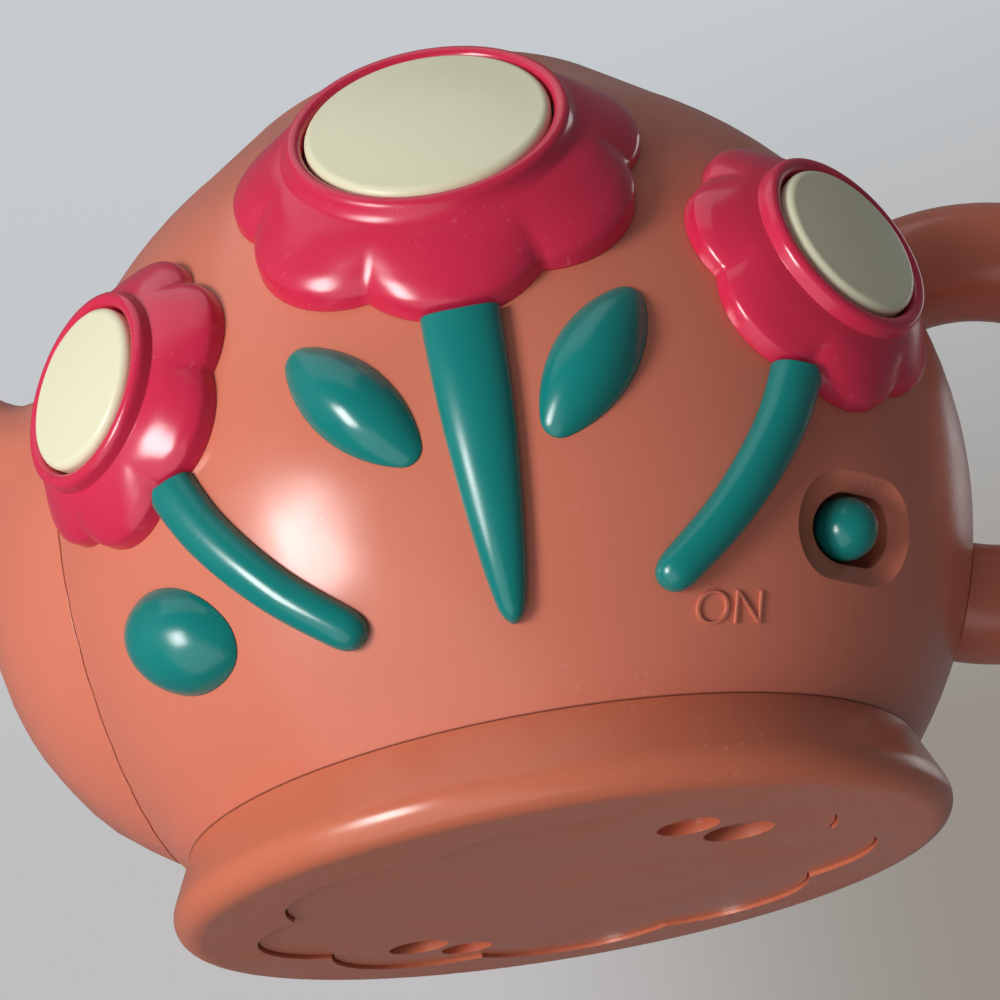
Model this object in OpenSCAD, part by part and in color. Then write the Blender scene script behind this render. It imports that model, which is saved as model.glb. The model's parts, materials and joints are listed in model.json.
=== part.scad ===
// Toy teapot with three flower push buttons, a slide switch and a lift-off lid.
// Millimetres and degrees. The foot stands on z = 0, the flowers face -Y, the spout points to -X.

/* [Body] */
// Largest radius of the ball body
body_radius = 57.6; // [57.3:0.1:57.9]
// Height of the widest ring above the table
body_mid_height = 46; // [45.8:0.1:46.2]
// Radius of the belly's curve below the widest ring
belly_radius = 54.6; // [54.2:0.1:55]
// Wall thickness of the moulded shells
shell_wall = 2.4; // [2.2:0.1:2.6]
// Height of the seam between body and foot
seam_height = 9.8; // [9.6:0.1:10]
// Angle above the widest ring where the ball runs into the straight shoulder
shoulder_angle = 44; // [43.5:0.5:44.5]
// Angle of the fine crease between ball and shoulder
shoulder_crease = 3; // [2.8:0.1:3.2]
// Length of the straight shoulder up to the mouth
shoulder_length = 15.8; // [15.6:0.1:16]
// Bore of the mouth under the lid
mouth_bore_radius = 24.1; // [23.9:0.1:24.3]

/* [Foot] */
// Radius of the foot's rim
foot_radius = 46.4; // [46:0.1:47]
// Rounding of the rim
foot_rim_round = 2.8; // [2.6:0.1:3]
// Thickness of the floor above the cover's recess
recess_floor = 4; // [3.8:0.1:4.2]

/* [Underside cover] */
// Number of lobes round the cover
cover_lobes = 8; // [8:8]
// Radius of the ring that the lobes are centred on
cover_lobe_ring = 22; // [21.8:0.1:22.2]
// Radius of each lobe
cover_lobe_radius = 15.2; // [15:0.1:15.4]
// Thickness of the cover
cover_thickness = 2; // [1.9:0.1:2.1]
// Depth of the cover's face below the foot's underside
cover_inset = 0.5; // [0.4:0.1:0.6]

/* [Flowers] */
// Number of petals on each flower
petals = 7; // [7:7]
// Radius of the large cream button
main_cap_radius = 12.6; // [12.4:0.1:12.8]
// Radius of the two small cream buttons
side_cap_radius = 8.8; // [8.6:0.1:9]
// Radius of the large flower at the petal tips
main_petal_tip = 21.8; // [21.6:0.1:22]
// Rounding radius of a large petal's edge
main_petal_round = 11; // [10.8:0.1:11.2]
// Radius of the small flowers at the petal tips
side_petal_tip = 16.1; // [15.9:0.1:16.3]
// Rounding radius of a small petal's edge
side_petal_round = 8.2; // [8:0.1:8.4]
// Height of the large button's face above the ball
main_rise = 4.4; // [4.3:0.1:4.5]
// Height of the small buttons' faces above the ball
side_rise = 5.1; // [5:0.1:5.2]
// Upward tilt of the large flower
main_tilt = 23; // [22.5:0.5:23.5]
// Height where the large flower's axis meets the ball's axis
main_aim_height = 44.8; // [44.6:0.1:45]
// Upward tilt of the small flowers
side_tilt = 6.3; // [6:0.1:6.5]
// Angle of the small flowers round the ball
side_turn = 40.6; // [40.2:0.2:41]
// Facing of the small flowers
side_yaw = 40.8; // [40.4:0.2:41.2]
// Height of the small flowers' face centres
side_height = 52.5; // [52.2:0.1:52.8]
// Travel of a pressed button
button_travel = 1.5; // [1.2:0.1:1.6]

/* [Stems and leaves] */
// Width of the middle stem at its top
main_stem_width = 7.8; // [7.6:0.1:8]
// Width of the side stems
side_stem_width = 5.8; // [5.6:0.1:6]
// Height of stems and leaves above the ball
trim_rise = 2.6; // [2.4:0.1:2.8]
// Length of a leaf
leaf_length = 18.4; // [18:0.2:18.8]
// Width of a leaf
leaf_width = 9; // [8.8:0.1:9.2]
// Length of the oval bead
dot_length = 17.2; // [17:0.1:17.4]
// Width of the oval bead
dot_width = 12.4; // [12.2:0.1:12.6]

/* [Switch] */
// Radius of the switch knob
knob_radius = 3.3; // [3.2:0.1:3.4]
// Travel of the switch knob from ON to OFF
switch_travel = 3; // [2.8:0.1:3.2]
// Depth of the scoop round the knob
scoop_depth = 2.6; // [2.5:0.1:2.7]
// Radius of the scoop's curve
scoop_radius = 8; // [7.9:0.1:8.1]

/* [Spout and handle] */
// Wall thickness of the spout
spout_wall = 2.4; // [2.2:0.1:2.6]
// Radius of the handle's loop at the middle of its bar
handle_loop_radius = 24; // [23.8:0.1:24.2]
// Thickness of the handle's bar in the plane of the loop
handle_bar = 14; // [13.8:0.1:14.2]
// Width of the handle's bar across the loop
handle_width = 16; // [15.8:0.1:16.2]
// Distance of the loop's centre from the ball's axis
handle_reach = 63; // [62.8:0.1:63.2]
// Height of the loop's centre
handle_height = 50.5; // [50.2:0.1:50.8]

/* [Lid] */
// Radius of the lid
lid_radius = 27.5; // [27.3:0.1:27.7]
// Height of the lid's dome
lid_rise = 6; // [5.8:0.1:6.2]
// Radius of the lid's knob
lid_knob_radius = 6.6; // [6.4:0.1:6.8]
// Depth of the cup under the lid
cup_depth = 22; // [21.5:0.5:22.5]

/* [Batteries and sound] */
// Diameter of a cell
cell_diameter = 10.5; // [10.4:0.1:10.6]
// Length of a cell with its nub
cell_length = 44.5; // [44.3:0.1:44.7]
// Radius of the speaker's frame
speaker_radius = 18; // [17.8:0.1:18.2]

/* [Hidden] */
fine = 96;
ball_fine = 360;
round_fine = 48;
overrun = 1;
seat_gap = 0.05;
slip_gap = 0.3;
peg_fit = 0.05;
cover_gap = 0.25;
parting_gap = 0.05;
far = 200;

belly_offset = body_radius - belly_radius;
shoulder_lean = shoulder_angle - shoulder_crease;
neck_height = shoulder_end(0)[1];
shell_floor = 2.4;

cover_recess = cover_inset + cover_thickness + 2 * seat_gap;
recess_top = cover_recess + recess_floor;
foot_wall = 2.4;
foot_neck_radius = skin_radius(seam_height);
foot_rim = [foot_radius - foot_rim_round, foot_rim_round];
foot_neck = [foot_neck_radius, seam_height - seat_gap];
foot_slope = atan2(foot_neck[1] - foot_rim[1], foot_neck[0] - foot_rim[0])
    - acos(foot_rim_round / norm(foot_neck - foot_rim));
foot_touch = foot_rim + foot_rim_round * [cos(foot_slope), sin(foot_slope)];
cover_core_radius = 30;

shank_radius = 1.4;
head_radius = 2.8;
head_height = 1.8;
hole_radius = 1.6;
drive_radius = 1;
drive_depth = 1;

cover_screw_radius = 26.9;
cover_screw_angle = -42;
cover_well_radius = 3.9;
cover_boss_radius = 5.2;
cover_boss_top = 4.9;
cover_well_floor = 1.3;
cover_screw_length = 9.4;
cover_post_radius = 3.6;
cover_post_top = 14;
shell_floor_radius = cover_screw_radius + cover_post_radius + slip_gap;
cover_pocket_radius = 3.4;
cover_pocket_depth = 1.2;
cover_pocket_step = 8.6;

box_angle = 45;
box_wall = 1.5;
cell_pitch = 11.2;
cell_clear = 0.4;
contact_thick = 0.5;
contact_bump = 1.05;
contact_bump_radius = 2;
contact_drop = 1;
nub_radius = 2.5;
nub_length = 1;
box_length = cell_length + 2 * (contact_bump + contact_thick + seat_gap + seat_gap);
box_width = 3 * cell_pitch + cell_clear;
cell_bottom = cover_inset + cover_thickness + cell_clear;
cell_mid = cell_bottom + cell_diameter / 2;
box_roof = cell_bottom + cell_diameter + seat_gap;
box_top = box_roof + box_wall;
board_post_radius = 2;
board_post_height = 3;
board_post_x = 18;
board_post_y = 11;
board_thick = 1.6;
board_length = 42;
board_width = 28;
chip_size = 9;
chip_height = 1.6;
can_radius = 3;
can_height = 7;
can_x = 13;

foot_screw_x = 31.5;
foot_screw_y = 7;
foot_head_depth = 2.2;
foot_boss_radius = 4;
foot_boss_top = 18;
foot_screw_length = 10;
box_clear = 0.6;

shell_boss_radius = 4.6;
shell_low_x = 40;
shell_low_z = 20;
shell_high_x = 34;
shell_high_z = 80;
shell_screw_spots = [[shell_low_x, shell_low_z], [shell_high_x, shell_high_z]];
shell_seat_y = 8;
shell_well_radius = 3.4;
shell_screw_length = 18;
shell_pilot_depth = 14;

lip_gap = slip_gap;
lip_width = 1.7;
lip_drop = 0.25;
lip_bottom = 3.6;
flange_step = 1;
flange_thick = 1.2;
flange_gap = 0.4;
flange_top = lip_bottom + flange_gap;
well_step = 1.4;
board_step = 1.9;
collar_step = 2.9;
collar_depth = 14.5;
collar_top = 3;
petal_top_drop = 1.5;
petal_steps = 10;
petal_root = 5;
petal_gap = 0.1;
petal_rim = 1.5;
petal_out_shares = [0, 0.2, 0.4, 0.58, 0.73, 0.85, 0.94, 0.985, 1];
petal_drop_shares = [0, 0.13, 0.27, 0.43, 0.58, 0.71, 0.84, 0.93, 1];
petal_lobe_shares = [0, 0, 0.1, 0.28, 0.5, 0.7, 0.86, 0.96, 1];
cap_dome_radius = 100;
cap_crown = 0.5;
cap_thick = 2;
cap_round = 0.9;
cap_round_lift = 0.03;
cap_skirt = 1.8;
plunger_radius = 3.2;
plunger_bottom = 7.2;
dome_rest = 1.3;
board_depth = plunger_bottom + button_travel + dome_rest;
dome_pad_radius = 3;
dome_pad = 1;
dome_flange_radius = 6;
dome_flange = 0.6;
dome_wall = 0.8;

main_reach = main_aim_reach(main_tilt) + main_rise;
side_face_radius = skin_radius(side_height) + side_rise;

stem_top = 49;
stem_tip = 17.2;
stem_tip_width = 2.4;
stem_taper_power = 2.4;
stem_edge = 0.4;
stem_blunt_share = 0.02;
stem_crown_share = 0.45;
main_stem_round_share = 0.95;
side_stem_round_share = 0.91;
side_stem_top = 41;
side_stem_upper = 32.8;
side_stem_lower = 25;
side_stem_tip = 18.7;
side_stem_turns = [34.5, 30.6, 24.4, 16.6];
side_stem_heights = [side_stem_top, side_stem_upper, side_stem_lower, side_stem_tip];
side_stem_tip_share = 0.7;
leaf_turn = 12;
leaf_height = 39.8;
leaf_lean = 37;
leaf_end = 2.4;
dot_turn = 40.4;
dot_height = 25;
dot_lean = 66;
dot_end = 4.6;
dot_rise = 3.6;
peg_radius = 1.5;
peg_length = 6;
stem_peg_high = 38;
stem_peg_low = 24;
leaf_peg_radius = 1.2;
stem_steps = 24;
stem_lanes = 12;

knob_turn = 42.7;
knob_drop = 21.5;
knob_height = body_mid_height - knob_drop;
knob_rise = 1.3;
knob_gap = 0.35;
knob_neck_radius = 1.8;
scoop_spread = 3.4;
scoop_boss_radius = 11.5;
scoop_boss_depth = 6.4;
slot_room = 0.7;
slot_radius = knob_radius + knob_gap;
switch_length = 15;
switch_width = 9;
switch_thick = 5;
slider_depth = 2.4;

spout_low_shares = [[-0.74, -0.62], [-0.93, -0.49], [-1.055, -0.33], [-1.12, -0.17], [-1.155, 0.035],
    [-1.22, 0.24], [-1.35, 0.43], [-1.5, 0.59], [-1.63, 0.7]];
spout_top_shares = [[-0.66, 0.66], [-0.8, 0.6], [-0.905, 0.55], [-1, 0.54], [-1.075, 0.575],
    [-1.15, 0.64], [-1.235, 0.725], [-1.335, 0.815], [-1.42, 0.895]];
spout_half_shares = [0.62, 0.52, 0.42, 0.32, 0.235, 0.182, 0.156, 0.144, 0.146];
spout_steps = 3;
spout_sides = 36;

handle_from = -112;
handle_to = 122;
tenon_radius = 4;
tenon_back = 5;
tenon_length = 8;

cup_wall = 1.6;
cup_floor = 1.8;
cup_flange = 1.2;
cup_flange_radius = 26.4;
lid_edge = 1.2;
lid_plug_radius = mouth_bore_radius - peg_fit - cup_wall - slip_gap;
lid_plug_depth = 6;
lid_wall = 2;
lid_base = neck_height + cup_flange + seat_gap + slip_gap;
lid_dome_radius = (lid_radius * lid_radius + lid_rise * lid_rise) / (2 * lid_rise);
lid_neck_radius = 3.4;
lid_knob_height = 9.5;
lid_peg_radius = 2;
lid_peg_depth = 2.2;

speaker_height = 47;
speaker_ring = 1.8;
speaker_frame = 2;
speaker_back = 9;
speaker_magnet_radius = 9;
speaker_magnet = 5;
speaker_cone_radius = 15;
speaker_set_back = 13.6;
speaker_seat_y = body_radius - speaker_set_back;
grille_hole_radius = 1.2;
grille_rings = [[1, 0], [6, 5], [12, 10]];

coral = "#DD7A64";
coral_foot = "#D0714F";
pink = "#D8385A";
cream = "#DEDBC3";
teal = "#15807D";
steel = "#B9BCC0";
board_green = "#2E6B3A";
grey = "#4A4A4A";
cell_blue = "#3A5E8C";
rubber_grey = "#8D8D88";

// Distance from the ball's axis point to the ball along a tilted line in the plane x = 0.
function main_aim_reach(tilt) = let (d = main_aim_height - body_mid_height)
    -d * sin(tilt) + sqrt(body_radius * body_radius - d * d * cos(tilt) * cos(tilt));

// The ball's outer surface: radius and lean at a height, and a point raised above it.
function skin_radius(z) = z > body_mid_height
    ? sqrt(body_radius * body_radius - pow(z - body_mid_height, 2))
    : belly_offset + sqrt(belly_radius * belly_radius - pow(z - body_mid_height, 2));
function skin_lean(z) = asin((z - body_mid_height) / (z > body_mid_height ? body_radius : belly_radius));
function skin_point(turn, z, rise) = let (r = skin_radius(z) + rise * cos(skin_lean(z)))
    [r * sin(turn), -r * cos(turn), z + rise * sin(skin_lean(z))];

// Where the straight shoulder starts inside the ball's curve, and where it ends at the mouth.
function shoulder_start(grow) = let (d = body_radius * cos(shoulder_crease) + grow)
    [d * cos(shoulder_lean), body_mid_height + d * sin(shoulder_lean)];
function shoulder_end(grow) = shoulder_start(grow)
    + (body_radius * sin(shoulder_crease) + shoulder_length) * [-sin(shoulder_lean), cos(shoulder_lean)];

// A smooth curve through hand-set points.
function blend(a, b, c, d, t) = 0.5 * (2 * b + (c - a) * t + (2 * a - 5 * b + 4 * c - d) * t * t
    + (3 * b - a - 3 * c + d) * t * t * t);
function along(list, k, t) = let (n = len(list) - 1)
    blend(list[max(k - 1, 0)], list[k], list[min(k + 1, n)], list[min(k + 2, n)], t);

module body_profile(grow) {
    start = shoulder_start(grow);
    end = shoulder_end(grow);
    intersection() {
        translate([0, body_mid_height]) circle(r = body_radius + grow, $fn = ball_fine);
        translate([0, body_mid_height])
            square([body_radius + overrun, (body_radius + grow) * sin(shoulder_angle) + overrun]);
    }
    polygon([[0, start[1]], start, end, [0, end[1]]]);
    intersection() {
        translate([belly_offset, body_mid_height]) circle(r = belly_radius + grow, $fn = ball_fine);
        translate([0, seam_height]) square([body_radius + overrun, body_mid_height - seam_height]);
    }
}

module ball(grow) {
    rotate_extrude($fn = ball_fine) body_profile(grow);
}

// Puts a flower's local frame, face at z = 0 and petals in x-y, on the ball.
module at_main() {
    translate([0, -main_reach * cos(main_tilt), main_aim_height + main_reach * sin(main_tilt)])
        rotate([90 - main_tilt, 0, 0]) children();
}

module at_side(hand) {
    translate([hand * side_face_radius * sin(side_turn), -side_face_radius * cos(side_turn), side_height])
        rotate([0, 0, hand * side_yaw]) rotate([90 - side_tilt, 0, 0]) children();
}

// Puts a local frame, z outward and y up the ball, on the ball's surface.
module on_skin(turn, z) {
    translate(skin_point(turn, z, 0)) rotate([0, 0, turn]) rotate([90 - skin_lean(z), 0, 0]) children();
}

module drop(depth, radius, length, facets) {
    translate([0, 0, -depth]) cylinder(r = radius, h = length, $fn = facets);
}

module shell_whole() {
    rotate_extrude($fn = fine) difference() {
        body_profile(0);
        intersection() {
            body_profile(-shell_wall);
            translate([0, seam_height + shell_floor]) square([far, far]);
        }
        translate([0, neck_height - 4 * shell_wall]) square([mouth_bore_radius, far]);
        square([shell_floor_radius, seam_height + 2 * shell_floor]);
    }
}

module shell_screw_places() {
    for (hand = [-1, 1], p = shell_screw_spots)
        translate([hand * p[0], 0, p[1]]) children();
}

module half_space(side) {
    translate([-far / 2, side > 0 ? parting_gap / 2 : -far - parting_gap / 2, 0]) cube([far, far, far]);
}

module box_frame() {
    rotate([0, 0, box_angle]) children();
}

module foot_screw_places() {
    for (x = [-1, 1], y = [-1, 1])
        box_frame() translate([x * foot_screw_x, y * foot_screw_y, 0]) children();
}

module box_cut(extra, bottom, top) {
    box_frame() translate([-box_length / 2 - extra, -box_width / 2 - extra, bottom])
        cube([box_length + 2 * extra, box_width + 2 * extra, top - bottom]);
}

// One half of the shell with its screw bosses, side -1 in front and 1 at the rear.
module shell_half(side) {
    intersection() {
        shell_whole();
        half_space(side);
    }
    intersection() {
        shell_screw_places() translate([0, side > 0 ? parting_gap / 2 : -far / 2 - parting_gap / 2, 0])
            rotate([-90, 0, 0]) cylinder(r = shell_boss_radius, h = far / 2, $fn = round_fine);
        ball(-shell_wall / 2);
    }
    for (y = [-1, 1])
        box_frame() translate([side * foot_screw_x, y * foot_screw_y, recess_top + seat_gap])
            cylinder(r = foot_boss_radius, h = foot_boss_top - recess_top - seat_gap, $fn = round_fine);
}

module shell_cuts() {
    foot_screw_places() translate([0, 0, recess_top]) cylinder(r = shank_radius + peg_fit / 2,
        h = foot_boss_top - recess_top - overrun, $fn = round_fine);
    box_cut(box_wall + box_clear, 0, box_top + overrun);
    handle_tenons(peg_fit);
}

module front_shell() {
    color(coral) difference() {
        union() {
            shell_half(-1);
            intersection() {
                at_knob() drop(scoop_boss_depth, scoop_boss_radius, scoop_boss_depth, fine);
                ball(-shell_wall / 2);
            }
        }
        shell_cuts();
        shell_screw_places() translate([0, -shell_pilot_depth, 0]) rotate([-90, 0, 0])
            cylinder(r = shank_radius + peg_fit / 2, h = far / 2, $fn = round_fine);
        at_main() drop(far / 8, main_cap_radius + collar_step + peg_fit, far / 4, fine);
        for (hand = [-1, 1])
            at_side(hand) drop(far / 8, side_cap_radius + collar_step + peg_fit, far / 4, fine);
        scoop();
        for (t = trim_pegs())
            on_skin(t[0], t[1]) drop(far / 16, t[2] + peg_fit, far / 8, round_fine);
    }
}

module rear_shell() {
    color(coral) difference() {
        union() {
            shell_half(1);
            intersection() {
                translate([0, speaker_seat_y, speaker_height]) rotate([-90, 0, 0]) difference() {
                    cylinder(r = speaker_radius + speaker_ring, h = far / 4, $fn = fine);
                    translate([0, 0, -overrun]) cylinder(r = speaker_cone_radius, h = far / 2, $fn = fine);
                }
                ball(-shell_wall / 2);
            }
        }
        shell_cuts();
        shell_screw_places() rotate([-90, 0, 0]) {
            translate([0, 0, -overrun]) cylinder(r = hole_radius, h = far / 2, $fn = round_fine);
            translate([0, 0, shell_seat_y]) cylinder(r = shell_well_radius, h = far / 2, $fn = round_fine);
        }
        for (g = grille_rings, k = [1 : g[0]])
            translate([g[1] * cos(k * 360 / g[0]), 0, speaker_height + g[1] * sin(k * 360 / g[0])])
                rotate([-90, 0, 0]) cylinder(r = grille_hole_radius, h = far / 2, $fn = round_fine);
    }
}

function spout_ring(k, t, thin, turn) = let (
    low = along(spout_low_shares, k, t) * body_radius,
    top = along(spout_top_shares, k, t) * body_radius,
    half = along(spout_half_shares, k, t) * body_radius - thin,
    mid = (low + top) / 2,
    arm = (top - low) / 2,
    reach = arm * (1 - thin / norm(arm)))
    [mid[0] + reach[0] * cos(turn), half * sin(turn), body_mid_height + mid[1] + reach[1] * cos(turn)];

module spout_sweep(thin, past) {
    spans = len(spout_low_shares) - 1;
    rings = spans * spout_steps;
    last = along(spout_top_shares, spans - 1, 1) - along(spout_low_shares, spans - 1, 1);
    out = [-last[1], 0, last[0]] / norm(last) * past;
    points = [for (i = [0 : rings], s = [0 : spout_sides - 1])
        let (k = min(floor(i / spout_steps), spans - 1), t = i / spout_steps - k)
        spout_ring(k, t, thin, s * 360 / spout_sides) + (i == rings ? out : [0, 0, 0])];
    sides = [for (i = [0 : rings - 1], s = [0 : spout_sides - 1])
        let (a = i * spout_sides + s, b = i * spout_sides + (s + 1) % spout_sides)
        [[a, a + spout_sides, b], [b, a + spout_sides, b + spout_sides]]];
    end = rings * spout_sides;
    polyhedron(points, concat([for (f = sides, g = f) g],
        [for (s = [1 : spout_sides - 2]) [0, s, s + 1]],
        [for (s = [1 : spout_sides - 2]) [end, end + s + 1, end + s]]));
}

module spout() {
    color(coral) difference() {
        spout_sweep(0, 0);
        spout_sweep(spout_wall, overrun);
        ball(seat_gap);
        cylinder(r = foot_radius + slip_gap, h = seam_height, $fn = fine);
    }
}

module handle_end(angle, way) {
    a = atan2(-way * sin(angle), way * cos(angle));
    translate([handle_reach + handle_loop_radius * cos(angle), 0,
        handle_height + handle_loop_radius * sin(angle)]) rotate([0, a, 0]) children();
}

module handle_tenons(grow) {
    handle_end(handle_to, 1) translate([0, 0, -tenon_back])
        cylinder(r = tenon_radius + grow, h = tenon_back + tenon_length + grow, $fn = round_fine);
    handle_end(handle_from, -1) translate([0, 0, -tenon_back])
        cylinder(r = tenon_radius + grow, h = tenon_back + tenon_length + grow, $fn = round_fine);
}

module handle() {
    color(coral) {
        difference() {
            translate([handle_reach, 0, handle_height]) rotate([90, 0, 0]) rotate([0, 0, handle_from])
                rotate_extrude(angle = handle_to - handle_from, $fn = fine)
                translate([handle_loop_radius, 0]) {
                    for (side = [-1, 1])
                        translate([0, side * (handle_width - handle_bar) / 2])
                            circle(d = handle_bar, $fn = fine);
                    square([handle_bar, handle_width - handle_bar], center = true);
                }
            ball(seat_gap);
        }
        handle_tenons(0);
    }
}

module mouth_cup() {
    color(coral) rotate_extrude($fn = fine) difference() {
        union() {
            translate([0, neck_height - cup_depth])
                square([mouth_bore_radius - peg_fit, cup_depth + seat_gap + cup_flange]);
            translate([0, neck_height + seat_gap]) square([cup_flange_radius, cup_flange]);
        }
        translate([0, neck_height - cup_depth + cup_floor])
            square([mouth_bore_radius - peg_fit - cup_wall, far]);
    }
}

module lid() {
    color(coral) difference() {
        rotate_extrude($fn = fine) difference() {
            union() {
                intersection() {
                    translate([0, lid_base + lid_edge + lid_rise - lid_dome_radius])
                        circle(r = lid_dome_radius, $fn = ball_fine);
                    translate([0, lid_base]) square([lid_radius, lid_edge + lid_rise + overrun]);
                }
                translate([0, lid_base - lid_plug_depth])
                    square([lid_plug_radius, lid_plug_depth + lid_edge]);
            }
            translate([0, lid_base - lid_plug_depth - overrun])
                square([lid_plug_radius - lid_wall, lid_plug_depth + overrun + lid_edge - lid_wall / 4]);
        }
        translate([0, 0, lid_base + lid_edge + lid_rise - lid_peg_depth])
            cylinder(r = lid_peg_radius + peg_fit, h = far, $fn = round_fine);
    }
}

module lid_knob() {
    top = lid_base + lid_edge + lid_rise;
    color(teal) {
        translate([0, 0, top - lid_peg_depth + seat_gap])
            cylinder(r = lid_peg_radius, h = lid_peg_depth + overrun, $fn = round_fine);
        difference() {
            union() {
                translate([0, 0, top - overrun])
                    cylinder(r = lid_neck_radius, h = lid_knob_height / 2 + overrun, $fn = round_fine);
                translate([0, 0, top + lid_knob_height - lid_knob_radius])
                    sphere(r = lid_knob_radius, $fn = fine);
            }
            translate([0, 0, lid_base + lid_edge + lid_rise - lid_dome_radius])
                sphere(r = lid_dome_radius + seat_gap, $fn = fine);
        }
    }
}

module cover_outline(grow) {
    circle(r = cover_core_radius, $fn = fine);
    for (k = [1 : cover_lobes])
        rotate(k * 360 / cover_lobes) translate([cover_lobe_ring, 0])
            circle(r = cover_lobe_radius + grow, $fn = fine);
}

module cover_screw_places() {
    for (k = [0, 1])
        rotate([0, 0, cover_screw_angle + k * 180]) translate([cover_screw_radius, 0, 0]) children();
}

module foot() {
    color(coral_foot) difference() {
        union() {
            rotate_extrude($fn = fine) difference() {
                union() {
                    square([foot_rim[0], 2 * foot_rim_round]);
                    translate(foot_rim) circle(r = foot_rim_round, $fn = fine);
                    polygon([[0, foot_rim[1]], foot_rim, foot_touch, foot_neck, [0, foot_neck[1]]]);
                }
                translate([0, recess_top]) square([foot_neck_radius - foot_wall, far]);
            }
            cover_screw_places() translate([0, 0, recess_top - overrun])
                cylinder(r = cover_post_radius, h = cover_post_top - recess_top + overrun, $fn = round_fine);
        }
        translate([0, 0, -overrun]) linear_extrude(height = cover_recess + overrun) cover_outline(cover_gap);
        box_cut(0, 0, recess_top + overrun);
        cover_screw_places() {
            cylinder(r = cover_boss_radius + slip_gap, h = cover_boss_top + seat_gap, $fn = round_fine);
            cylinder(r = shank_radius + peg_fit / 2, h = cover_post_top - overrun, $fn = round_fine);
        }
        foot_screw_places() {
            cylinder(r = hole_radius, h = far, $fn = round_fine);
            cylinder(r = head_radius + slip_gap, h = cover_recess + foot_head_depth, $fn = round_fine);
        }
    }
}

module underside_cover() {
    color(coral_foot) difference() {
        union() {
            translate([0, 0, cover_inset]) linear_extrude(height = cover_thickness) cover_outline(0);
            cover_screw_places() translate([0, 0, cover_inset])
                cylinder(r = cover_boss_radius, h = cover_boss_top - cover_inset, $fn = round_fine);
        }
        cover_screw_places() {
            translate([0, 0, -overrun])
                cylinder(r = cover_well_radius, h = cover_boss_top - cover_well_floor + overrun,
                    $fn = round_fine);
            cylinder(r = hole_radius, h = far, $fn = round_fine);
            translate([0, -cover_pocket_step, -overrun])
                cylinder(r = cover_pocket_radius, h = cover_inset + cover_pocket_depth + overrun,
                    $fn = round_fine);
        }
    }
}

// A screw with its head at the bottom and its seat at z = 0.
module screw(length) {
    color(steel) difference() {
        union() {
            translate([0, 0, -head_height]) cylinder(r = head_radius, h = head_height, $fn = round_fine);
            cylinder(r = shank_radius, h = length, $fn = round_fine);
        }
        translate([0, 0, -head_height - overrun])
            cylinder(r = drive_radius, h = drive_depth + overrun, $fn = 6);
    }
}

module cover_screw(k) {
    rotate([0, 0, cover_screw_angle + k * 180])
        translate([cover_screw_radius, 0, cover_boss_top - cover_well_floor - seat_gap])
            screw(cover_screw_length);
}

module foot_screw(x, y) {
    box_frame() translate([x * foot_screw_x, y * foot_screw_y, cover_recess + foot_head_depth - seat_gap])
        screw(foot_screw_length);
}

module shell_screw(hand, p) {
    translate([hand * p[0], shell_seat_y + seat_gap, p[1]]) rotate([90, 0, 0]) screw(shell_screw_length);
}

// Radius of the scalloped petal edge at an angle, a ring of equal arcs.
function petal_edge(turn, tip, rounding) = let (
    span = 360 / petals,
    off = turn - span * round(turn / span),
    ring = tip - rounding)
    ring * cos(off) + sqrt(rounding * rounding - pow(ring * sin(off), 2));

function skin_drop(reach, rise) = rise + body_radius - sqrt(body_radius * body_radius - reach * reach);

// The petal skirt, lofted from the round lip to the scalloped edge on the ball.
module petal_skirt(cap, tip, rounding, rise) {
    lip = cap + lip_gap + lip_width / 2;
    low = skin_drop(tip, rise) - petal_rim;
    rows = len(petal_out_shares);
    count = petals * petal_steps;
    points = [for (i = [0 : rows], k = [0 : count - 1]) let (
        row = min(i, rows - 1),
        turn = k * 360 / count,
        r = lip + (tip - lip) * petal_out_shares[row]
            - (tip - petal_edge(turn, tip, rounding)) * petal_lobe_shares[row],
        depth = petal_top_drop + (low - petal_top_drop) * petal_drop_shares[row]
            + (i == rows ? petal_root : 0))
        [r * cos(turn - 90), r * sin(turn - 90), -depth]];
    sides = [for (i = [0 : rows - 1], k = [0 : count - 1])
        let (a = i * count + k, b = i * count + (k + 1) % count)
        [[a, b, a + count], [b, b + count, a + count]]];
    end = rows * count;
    polyhedron(points, concat([for (f = sides, g = f) g],
        [for (k = [1 : count - 2]) [0, k + 1, k]],
        [for (k = [1 : count - 2]) [end, end + k, end + k + 1]]));
}

// Room for a flower in the strips that run up to it.
module petal_room(tip, rounding) {
    count = petals * petal_steps;
    translate([0, 0, -far / 8]) linear_extrude(height = far / 4)
        polygon([for (k = [0 : count - 1]) let (
            turn = k * 360 / count,
            r = petal_edge(turn, tip, rounding) + petal_gap)
            [r * cos(turn - 90), r * sin(turn - 90)]]);
}

module flower_lip(cap) {
    rotate_extrude($fn = fine) {
        translate([cap + lip_gap + lip_width / 2, -lip_drop - lip_width / 2])
            circle(d = lip_width, $fn = fine);
        translate([cap + lip_gap, -lip_bottom]) square([lip_width, lip_bottom - lip_drop - lip_width / 2]);
    }
}

module flower_bores(cap) {
    drop(far / 4, cap + lip_gap, far / 2, fine);
    drop(far / 4, cap + well_step, far / 4 - lip_bottom, fine);
    drop(far / 4, cap + board_step, far / 4 - board_depth, fine);
}

module flower_collar(cap) {
    drop(collar_depth, cap + collar_step, collar_depth - collar_top, fine);
}

module main_flower() {
    color(pink) difference() {
        union() {
            difference() {
                at_main() petal_skirt(main_cap_radius, main_petal_tip, main_petal_round, main_rise);
                ball(seat_gap);
            }
            at_main() flower_lip(main_cap_radius);
            at_main() flower_collar(main_cap_radius);
        }
        at_main() flower_bores(main_cap_radius);
    }
}

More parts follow.
